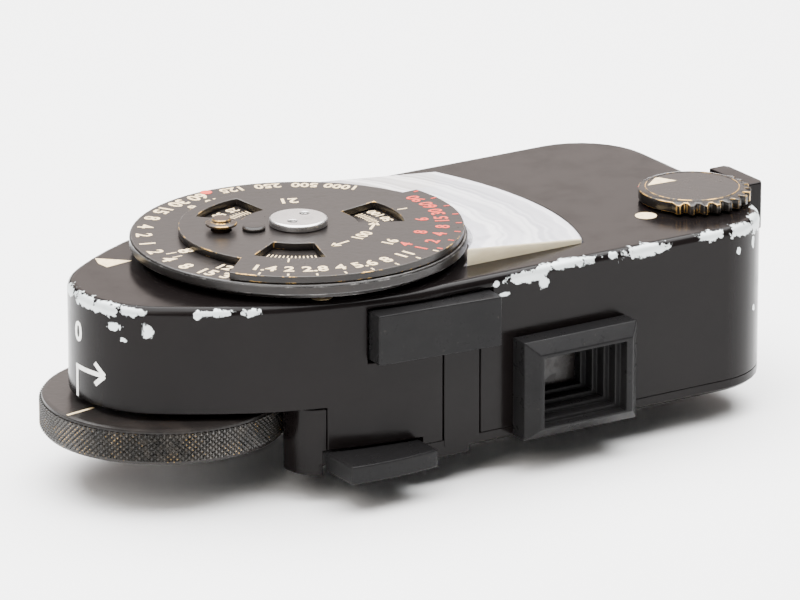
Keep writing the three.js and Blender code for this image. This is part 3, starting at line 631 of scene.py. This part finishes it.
# %% Geometry Nodes recipes
class Recipe:
    def __init__(self, name, inputs):
        self.tree = bpy.data.node_groups.new(name, "GeometryNodeTree")
        face = self.tree.interface
        face.new_socket("Geometry", in_out="OUTPUT", socket_type="NodeSocketGeometry")
        for label, kind in inputs.items():
            face.new_socket(label, in_out="INPUT", socket_type="NodeSocket" + kind)
        self.given = self.node("NodeGroupInput").outputs
        self.result = self.node("NodeGroupOutput").inputs[0]

    def node(self, kind, inputs=None, **settings):
        made = self.tree.nodes.new(kind)
        for key, value in settings.items():
            setattr(made, key, value)
        for key, value in (inputs or {}).items():
            if isinstance(value, bpy.types.NodeSocket):
                self.tree.links.new(value, made.inputs[key])
            else:
                made.inputs[key].default_value = value
        return made

    def calc(self, operation, first, second=0.0):
        return self.node("ShaderNodeMath", {0: first, 1: second}, operation=operation).outputs[0]

    def vector(self, x, y, z):
        return self.node("ShaderNodeCombineXYZ", {0: x, 1: y, 2: z}).outputs[0]

    def end(self, geometry):
        realized = self.node("GeometryNodeRealizeInstances", {0: geometry}).outputs[0]
        painted = self.node("GeometryNodeSetMaterial", {0: realized, "Material": self.given["Material"]})
        self.tree.links.new(painted.outputs[0], self.result)

    def bake(self, name, **values):
        piece = link(bpy.data.meshes.new(name), name)
        modifier = piece.modifiers.new("recipe", "NODES")
        modifier.node_group = self.tree
        for item in self.tree.interface.items_tree:
            if item.in_out == "INPUT":
                modifier[item.identifier] = values[item.name]
        return plain_mesh(piece)


def tick_recipe():
    """Flat bars on an arc, all pointing at its centre."""
    recipe = Recipe(
        "tick_ring",
        {
            "Centre": "Vector", "Count": "Int", "Radius": "Float", "Start": "Float", "Sweep": "Float",
            "Length": "Float", "Width": "Float", "Thickness": "Float", "Material": "Material",
        },
    )
    given = recipe.given
    index = recipe.node("GeometryNodeInputIndex").outputs[0]
    share = recipe.calc("DIVIDE", index, recipe.calc("SUBTRACT", given["Count"], 1.0))
    angle = recipe.calc("ADD", given["Start"], recipe.calc("MULTIPLY", share, given["Sweep"]))
    across = recipe.calc("MULTIPLY", recipe.calc("COSINE", angle), given["Radius"])
    along = recipe.calc("MULTIPLY", recipe.calc("SINE", angle), given["Radius"])
    spot = recipe.node(
        "ShaderNodeVectorMath", {0: recipe.vector(across, along, 0.0), 1: given["Centre"]}, operation="ADD"
    )
    points = recipe.node("GeometryNodePoints", {"Count": given["Count"], "Position": spot.outputs[0]})
    size = recipe.vector(given["Length"], given["Width"], given["Thickness"])
    bar = recipe.node("GeometryNodeMeshCube", {"Size": size})
    turn = recipe.node("FunctionNodeEulerToRotation", {0: recipe.vector(0.0, 0.0, angle)})
    bars = recipe.node(
        "GeometryNodeInstanceOnPoints",
        {"Points": points.outputs[0], "Instance": bar.outputs[0], "Rotation": turn.outputs[0]},
    )
    recipe.end(bars.outputs[0])
    return recipe


def knurl_recipe():
    """A diamond knurl: a wrapped grid whose alternate points stand proud as pyramid tips."""
    recipe = Recipe(
        "diamond_knurl",
        {
            "Centre": "Vector", "Columns": "Int", "Rows": "Int", "Radius": "Float", "Depth": "Float",
            "Height": "Float", "Material": "Material",
        },
    )
    given = recipe.given
    grid = recipe.node(
        "GeometryNodeMeshGrid",
        {
            "Size X": 1.0, "Size Y": 1.0,
            "Vertices X": recipe.calc("ADD", given["Columns"], 1.0),
            "Vertices Y": recipe.calc("ADD", given["Rows"], 1.0),
        },
    )
    spot = recipe.node("ShaderNodeSeparateXYZ", {0: recipe.node("GeometryNodeInputPosition").outputs[0]})
    u = recipe.calc("ADD", spot.outputs[0], 0.5)
    v = recipe.calc("ADD", spot.outputs[1], 0.5)
    column = recipe.calc("ROUND", recipe.calc("MULTIPLY", u, given["Columns"]))
    row = recipe.calc("ROUND", recipe.calc("MULTIPLY", v, given["Rows"]))
    low = recipe.calc("MODULO", recipe.calc("ADD", column, row), 2.0)
    radius = recipe.calc("SUBTRACT", given["Radius"], recipe.calc("MULTIPLY", low, given["Depth"]))
    angle = recipe.calc("MULTIPLY", u, 2 * math.pi)
    x = recipe.calc("MULTIPLY", recipe.calc("COSINE", angle), radius)
    y = recipe.calc("MULTIPLY", recipe.calc("SINE", angle), radius)
    z = recipe.calc("MULTIPLY", recipe.calc("SUBTRACT", v, 0.5), given["Height"])
    here = recipe.node("ShaderNodeVectorMath", {0: recipe.vector(x, y, z), 1: given["Centre"]}, operation="ADD")
    band = recipe.node("GeometryNodeSetPosition", {0: grid.outputs[0], "Position": here.outputs[0]})
    cut = recipe.node("GeometryNodeTriangulate", {0: band.outputs[0]}, quad_method="SHORTEST_DIAGONAL")
    closed = recipe.node("GeometryNodeMergeByDistance", {0: cut.outputs[0], "Distance": 1e-6})
    recipe.end(closed.outputs[0])
    return recipe


TICKS = tick_recipe()
KNURLS = knurl_recipe()
PROUD = 0.018  # paint stands this much above its face, in millimetres


def ticks(name, centre, z, count, radius, start, sweep, length, width, paint):
    middle = place(centre[0], centre[1], z + PROUD / 2)
    return TICKS.bake(
        name, Centre=middle, Count=count, Radius=radius * MM, Start=math.radians(start),
        Sweep=math.radians(sweep), Length=length * MM, Width=width * MM, Thickness=PROUD * MM, Material=paint,
    )


print("recipes:", TICKS.tree.name, KNURLS.tree.name)

# %% [markdown]
# The wheel is turned brass with a rolled diamond knurl. The rim band comes from the knurl
# recipe. The blank behind it is one closed profile spun about the axis, so its chamfers and
# the recess underneath are real.


# %% Coupling wheel
def spun(name, centre, profile, sides, finish):
    """A closed ring from [radius, height] points in millimetres, listed with the outside on the right."""
    vertices = []
    for i in range(sides):
        c, s = math.cos(2 * math.pi * i / sides), math.sin(2 * math.pi * i / sides)
        vertices += [centre + Vector((r * c * MM, r * s * MM, z * MM)) for r, z in profile]
    count = len(profile)
    faces = []
    for i in range(sides):
        for j in range(count):
            a, b = i * count + j, i * count + (j + 1) % count
            c, d = ((i + 1) % sides) * count + (j + 1) % count, ((i + 1) % sides) * count + j
            faces.append((a, d, c, b))
    mesh = bpy.data.meshes.new(name)
    mesh.from_pydata(vertices, [], faces)
    mesh.materials.append(finish)
    work = bmesh.new()
    work.from_mesh(mesh)
    bmesh.ops.recalc_face_normals(work, faces=work.faces)
    work.to_mesh(mesh)
    work.free()
    return link(mesh, name)


def joined(name, pieces):
    """Several meshes as one piece."""
    target_piece = pieces[0]
    with bpy.context.temp_override(active_object=target_piece, selected_editable_objects=pieces):
        bpy.ops.object.join()
    target_piece.name = name
    return target_piece


KNURL_DEPTH = 0.2
wheel_height = (wheel_high.z - wheel_low.z) / MM
band_height = wheel_height - 0.7
blank_r = WHEEL_R - KNURL_DEPTH
top_z = wheel_height / 2
band_top = band_height / 2
profile = [
    (1.25, -top_z + 1.2), (7.6, -top_z + 1.2), (7.6, -top_z + 0.05), (7.66, -top_z), (blank_r - 0.35, -top_z),
    (blank_r - 0.1, -top_z + 0.06), (blank_r, -band_top), (blank_r, band_top), (blank_r - 0.08, top_z - 0.1),
    (blank_r - 0.3, top_z - 0.02), (blank_r - 0.45, top_z), (1.25, top_z),
]
blank = smooth(spun("wheel_blank", WHEEL_AXIS, profile, 96, DISC_BLACK), 24)
band = KNURLS.bake(
    "wheel_band", Centre=WHEEL_AXIS, Columns=248, Rows=10, Radius=WHEEL_R * MM, Depth=KNURL_DEPTH * MM,
    Height=band_height * MM, Material=KNURL,
)
wheel = register(joined("knurled_wheel", [blank, band]), "wheel", SLOTS["coupling_wheel"], "coupling_wheel")
print("knurled wheel faces:", len(wheel.data.polygons))

# %% [markdown]
# Painted marks are thin solids, so they catch light at their edges as real paint does. An
# outline at two heights is enough: dots, triangles and strokes all come from one helper.


# %% Mark shapes
def slab(name, lower, upper, paint):
    """A closed thin solid between two matching outlines."""
    count = len(lower)
    sides = [(i, (i + 1) % count, count + (i + 1) % count, count + i) for i in range(count)]
    mesh = bpy.data.meshes.new(name)
    ends = [tuple(reversed(range(count))), tuple(range(count, 2 * count))]
    mesh.from_pydata(lower + upper, [], [*ends, *sides])
    mesh.materials.append(paint)
    return link(mesh, name)


def flat_mark(name, outline, z, paint):
    low, high = [[place(x, y, level) for x, y in outline] for level in (z, z + PROUD)]
    return slab(name, low, high, paint)


def disc(centre, radius, sides=24):
    return [
        (centre[0] + x, centre[1] + y) for x, y in (polar(radius, 360 * i / sides) for i in range(sides))
    ]


def bar(a, b, half):
    """Four corners of a bar between two points of an outline plane."""
    (x0, y0), (x1, y1) = a, b
    size = math.hypot(x1 - x0, y1 - y0)
    nx, ny = -(y1 - y0) / size * half, (x1 - x0) / size * half
    return [(x0 - nx, y0 - ny), (x1 - nx, y1 - ny), (x1 + nx, y1 + ny), (x0 + nx, y0 + ny)]


print("mark shapes ready")

# %% [markdown]
# Figures are engraved and filled with paint. A text object gives the outline, and its mesh is
# laid on the disc with its head towards the centre, as a reader in front would see it. Only
# plain numbers are used.


# %% Dial figures
def figure(text, size_mm, centre, z, radius, degrees, paint, turn=90.0):
    curve = bpy.data.curves.new("figure", "FONT")
    curve.body = text
    curve.size = size_mm * MM
    curve.align_x = "CENTER"
    curve.align_y = "CENTER"
    curve.extrude = PROUD * MM / 2
    curve.offset = 0.026 * size_mm * MM
    curve.resolution_u = 3
    holder = link(curve, "figure")
    bpy.context.view_layer.update()
    mesh = bpy.data.meshes.new_from_object(holder.evaluated_get(bpy.context.evaluated_depsgraph_get()))
    bpy.data.objects.remove(holder)
    x, y = polar(radius, degrees)
    spot = place(centre[0] + x, centre[1] + y, z + PROUD / 2)
    mesh.transform(Matrix.Translation(spot) @ Matrix.Rotation(math.radians(degrees + turn), 4, "Z"))
    mesh.materials.clear()
    mesh.materials.append(paint)
    return link(mesh, "figure")


def figures(name, body, slot_name, rows, extra=()):
    """All figures of one colour on one body, as one piece."""
    pieces = list(extra)
    for row in rows:
        pieces += figure_row(**row)
    return register(joined(name, pieces), body, slot_name)


def figure_row(texts, size, z, radius, start, step, paint, centre=(0, 0), turn=90.0):
    return [
        figure(text, size, centre, z, radius, start + i * step, paint, turn) for i, text in enumerate(texts)
    ]


SPEED_TOP = height(dial_high.z)
LOBE_TOP = height(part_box("aperture_disc")[1].z)
SPEEDS = "30 15 8 4 2 1 2 4 8 15 30 60".split()
HIGH_SPEEDS = "125 250 500 1000".split()
HALVES = "180 90 45 20 10 6".split()
STOPS = "1.4 2 2.8 4 5.6 8 11".split()
MINUTES = "1 2 4 8 15 30 60 90".split()
SIGHT_ANGLES = (113.5, -126.5, -6.5)

STOP_START, STOP_STEP = -135.5, 10.2
RED_START = STOP_START + 7 * STOP_STEP

speed_rows = [
    {"texts": SPEEDS, "size": 1.8, "z": SPEED_TOP, "radius": 12.65,
     "start": 213, "step": -10.3, "paint": CREAM_PAINT},
    {"texts": HIGH_SPEEDS, "size": 1.5, "z": SPEED_TOP, "radius": 12.7,
     "start": 84, "step": -14, "paint": CREAM_PAINT},
    {"texts": HALVES, "size": 1.5, "z": SPEED_TOP, "radius": 10.95,
     "start": 48, "step": 12.5, "paint": CREAM_PAINT},
    {"texts": ["12", "24"], "size": 1.5, "z": SPEED_TOP, "radius": 10.9,
     "start": 205, "step": 10, "paint": CREAM_PAINT},
    {"texts": ["8"], "size": 1.9, "z": SPEED_TOP, "radius": 10.3,
     "start": 176, "step": 0, "paint": CREAM_PAINT},
]
speed_extra = [ticks("speed_tick", (0, 0), SPEED_TOP, 2, 11.6, 176, 5, 0.9, 0.14, CREAM_PAINT)]
for at in SIGHT_ANGLES:
    speed_rows.append(
        {"texts": ["25", "50", "100"], "size": 1.15, "z": SPEED_TOP, "radius": 8.0, "start": at - 12, "step": 12,
         "paint": CREAM_PAINT}
    )
    speed_extra.append(ticks("sight_ticks", (0, 0), SPEED_TOP, 13, 6.7, at - 17, 34, 0.8, 0.1, CREAM_PAINT))
figures("speed_figures", "dial", SLOTS["speed_disc"], speed_rows, speed_extra)

lobe_rows = [
    {"texts": STOPS, "size": 1.75, "z": LOBE_TOP, "radius": 11.7, "start": STOP_START, "step": STOP_STEP,
     "paint": CREAM_PAINT},
    {"texts": ["16"], "size": 1.45, "z": LOBE_TOP, "radius": 8.8,
     "start": RED_START, "step": 0, "paint": CREAM_PAINT},
    {"texts": ["21"], "size": 1.7, "z": LOBE_TOP, "radius": 6.4,
     "start": 66, "step": 0, "paint": CREAM_PAINT},
    {"texts": ["100"], "size": 1.45, "z": LOBE_TOP, "radius": 6.0,
     "start": -62, "step": 0, "paint": CREAM_PAINT},
]


def arrow(name, tip, tail, z, paint, half=0.11, barb=0.75):
    """A drawn arrow: one stem and two barbs."""
    stem = Vector((tail[0] - tip[0], tail[1] - tip[1]))
    stem.normalize()
    strokes = [(tip, tail)]
    for turn in (32, -32):
        way = Matrix.Rotation(math.radians(turn), 2) @ stem
        strokes.append((tip, (tip[0] + way.x * barb, tip[1] + way.y * barb)))
    return [flat_mark(name, bar(*stroke, half), z, paint) for stroke in strokes]


lobe_marks = [
    ticks("lobe_ticks", (0, 0), LOBE_TOP, 8, 13.08, STOP_START, 7 * STOP_STEP, 0.5, 0.16, CREAM_PAINT),
    ticks("sight_index", (0, 0), LOBE_TOP, 2, 9.4, SIGHT_ANGLES[1], 120, 0.9, 0.14, CREAM_PAINT),
    *arrow("arrow", polar(6.3, -96), polar(6.0, -79), LOBE_TOP, CREAM_PAINT),
    *arrow("arrow", polar(6.3, -28), polar(6.0, -45), LOBE_TOP, CREAM_PAINT),
]
figures("stop_figures", "film_disc", SLOTS["aperture_disc"], lobe_rows, lobe_marks)

red_rows = [
    {"texts": MINUTES, "size": 1.6, "z": LOBE_TOP, "radius": 11.8, "start": RED_START, "step": 9.6,
     "paint": RED_PAINT},
    {"texts": ["4", "8", "6"], "size": 1.5, "z": LOBE_TOP, "radius": 10.2,
     "start": RED_START + 1, "step": 19.2,
     "paint": RED_PAINT},
]
red_ticks = ticks("red_ticks", (0, 0), LOBE_TOP, 8, 13.08, RED_START + 3, 7 * STOP_STEP, 0.5, 0.16, RED_PAINT)
figures("minute_figures", "film_disc", SLOTS["aperture_disc"], red_rows, [red_ticks])
print("dial figures:", len(SPEEDS) + len(HALVES) + len(STOPS) + len(MINUTES))

# %% [markdown]
# The remaining paint marks are plain shapes: dots, triangles and a bent arrow. A flat mark is
# a filled outline with a little thickness. The marks on the nose follow its round wall, so
# their outlines are given as an angle and a height and then wrapped.


# %% Painted marks
NOSE_X, NOSE_R = -12.5, 8.05


def nose_mark(name, outline, paint):
    """Outline points are degrees round the nose and millimetres of height."""

    def wrapped(radius):
        points = []
        for degrees, z in outline:
            x, y = polar(radius, degrees)
            points.append(place(NOSE_X + x, y, z))
        return points

    return slab(name, wrapped(NOSE_R + 0.004), wrapped(NOSE_R + PROUD), paint)


def nose_bar(name, a, b, half_mm, paint, steps=8):
    """A level or upright bar on the nose, cut into short lengths so that it follows the wall."""
    degrees_per_mm = 180 / (math.pi * NOSE_R)
    pieces = []
    for i in range(steps):
        ends = [tuple(p + (q - p) * t for p, q in zip(a, b)) for t in (i / steps, (i + 1) / steps)]
        flat = [(d / degrees_per_mm, z) for d, z in ends]
        pieces.append(nose_mark(name, [(d * degrees_per_mm, z) for d, z in bar(*flat, half_mm)], paint))
    return pieces


def nose_figure(text, size_mm, degrees, z, paint):
    """A numeral drawn flat, then wrapped round the nose."""
    drawn = figure(text, size_mm, (0, 0), 0.0, 0.0, 0.0, paint, 0.0)
    middle = place(0, 0, PROUD / 2)
    for vertex in drawn.data.vertices:
        along, up, out = (vertex.co - middle) / MM
        turn = math.radians(degrees) + along / NOSE_R
        radius = NOSE_R + PROUD / 2 + out
        vertex.co = place(NOSE_X + radius * math.cos(turn), radius * math.sin(turn), z + up)
    return [drawn]


nose_marks = [
    *nose_bar("stem", (175.0, -8.85), (175.0, -6.1), 0.19, CHALK_PAINT, 2),
    *nose_bar("arm", (173.8, -6.25), (199.5, -6.25), 0.19, CHALK_PAINT),
    *nose_bar("barb", (200.5, -6.25), (193.0, -5.35), 0.2, CHALK_PAINT, 3),
    *nose_bar("barb", (200.5, -6.25), (193.0, -7.15), 0.2, CHALK_PAINT, 3),
    *nose_figure("0", 2.3, 177.0, -3.35, CHALK_PAINT),
    flat_mark("triangle", [(-14.95, 7.25), (-15.4, 6.0), (-15.3, 4.75), (-12.75, 5.15)], 0.0, CREAM_PAINT),
    flat_mark("cream_dot", disc((29.2, -7.4), 0.9), 0.0, CREAM_PAINT),
    flat_mark("front_dot", disc((-4.6, -10.9), 0.95), 0.0, CREAM_PAINT),
    flat_mark("red_dot", disc((33.75, -0.95), 0.8), 0.0, RED_PAINT),
]
register(joined("housing_marks", nose_marks), "casing", SLOTS["top_housing"])

KNOB_TOP = height(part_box("range_knob_top")[1].z)
pointer_outline = [(31.75, -3.9), (34.5, -4.1), (33.75, -2.6), (33.4, -2.55)]
knob_mark = flat_mark("knob_pointer", pointer_outline, KNOB_TOP, CREAM_PAINT)
register(knob_mark, "range_knob", SLOTS["range_knob_top"])
knob_axis = place(34.8, -6.0, KNOB_TOP)
hairline = [(3.86, -0.05), (3.97, -0.05), (3.97, 0.0), (3.94, 0.03), (3.88, 0.03)]
register(spun("knob_hairline", knob_axis, hairline, 72, WORN_EDGE), "range_knob", SLOTS["range_knob_top"])
NUT_TOP = height(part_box("spanner_nut")[1].z)
# Painted shade: a dark disc a little below the nut's top fills each spanner hole, in place of the shade inside
# it.
nut_hole_shades = [
    flat_mark("nut_hole_shade", disc(polar(1.15, degrees), 0.38), NUT_TOP - 0.17, LENS_AND_HOLE_SHADE) for degrees in (33, 213)
]
register(joined("nut_hole_shades", nut_hole_shades), "dial", SLOTS["dial_shaft"])
red_index = flat_mark("disc_index", disc(polar(13.2, 93.7), 0.5), SPEED_TOP, RED_PAINT)
register(red_index, "dial", SLOTS["speed_disc"])
wheel_top = height(wheel_high.z)
wheel_index = flat_mark(
    "wheel_index", bar((WHEEL_X - 9.7, -1.2), (WHEEL_X - 7.0, -0.75), 0.14), wheel_top, CREAM_PAINT
)
register(wheel_index, "wheel", SLOTS["coupling_wheel"])
print("marks painted")

# %% [markdown]
# The floor is a pale sheet at the height the foot stands on. It isn't part of the meter.

# %% Floor
floor_mesh = bpy.data.meshes.new("floor")
FLOOR_REACH = 1.5
floor_z = cad_box[0].z
corners = [(x * FLOOR_REACH, y * FLOOR_REACH) for x, y in ((-1, -1), (1, -1), (1, 1), (-1, 1))]
floor_mesh.from_pydata([(x, y, floor_z) for x, y in corners], [], [(0, 1, 2, 3)])
floor = link(floor_mesh, "floor")
paper = Finish("pale_floor", Roughness=0.8)
paper.set("Base Color", paper.mix(paper.noise(40.0), (0.90, 0.90, 0.90, 1), (0.93, 0.93, 0.93, 1)))
floor_mesh.materials.append(paper.material)
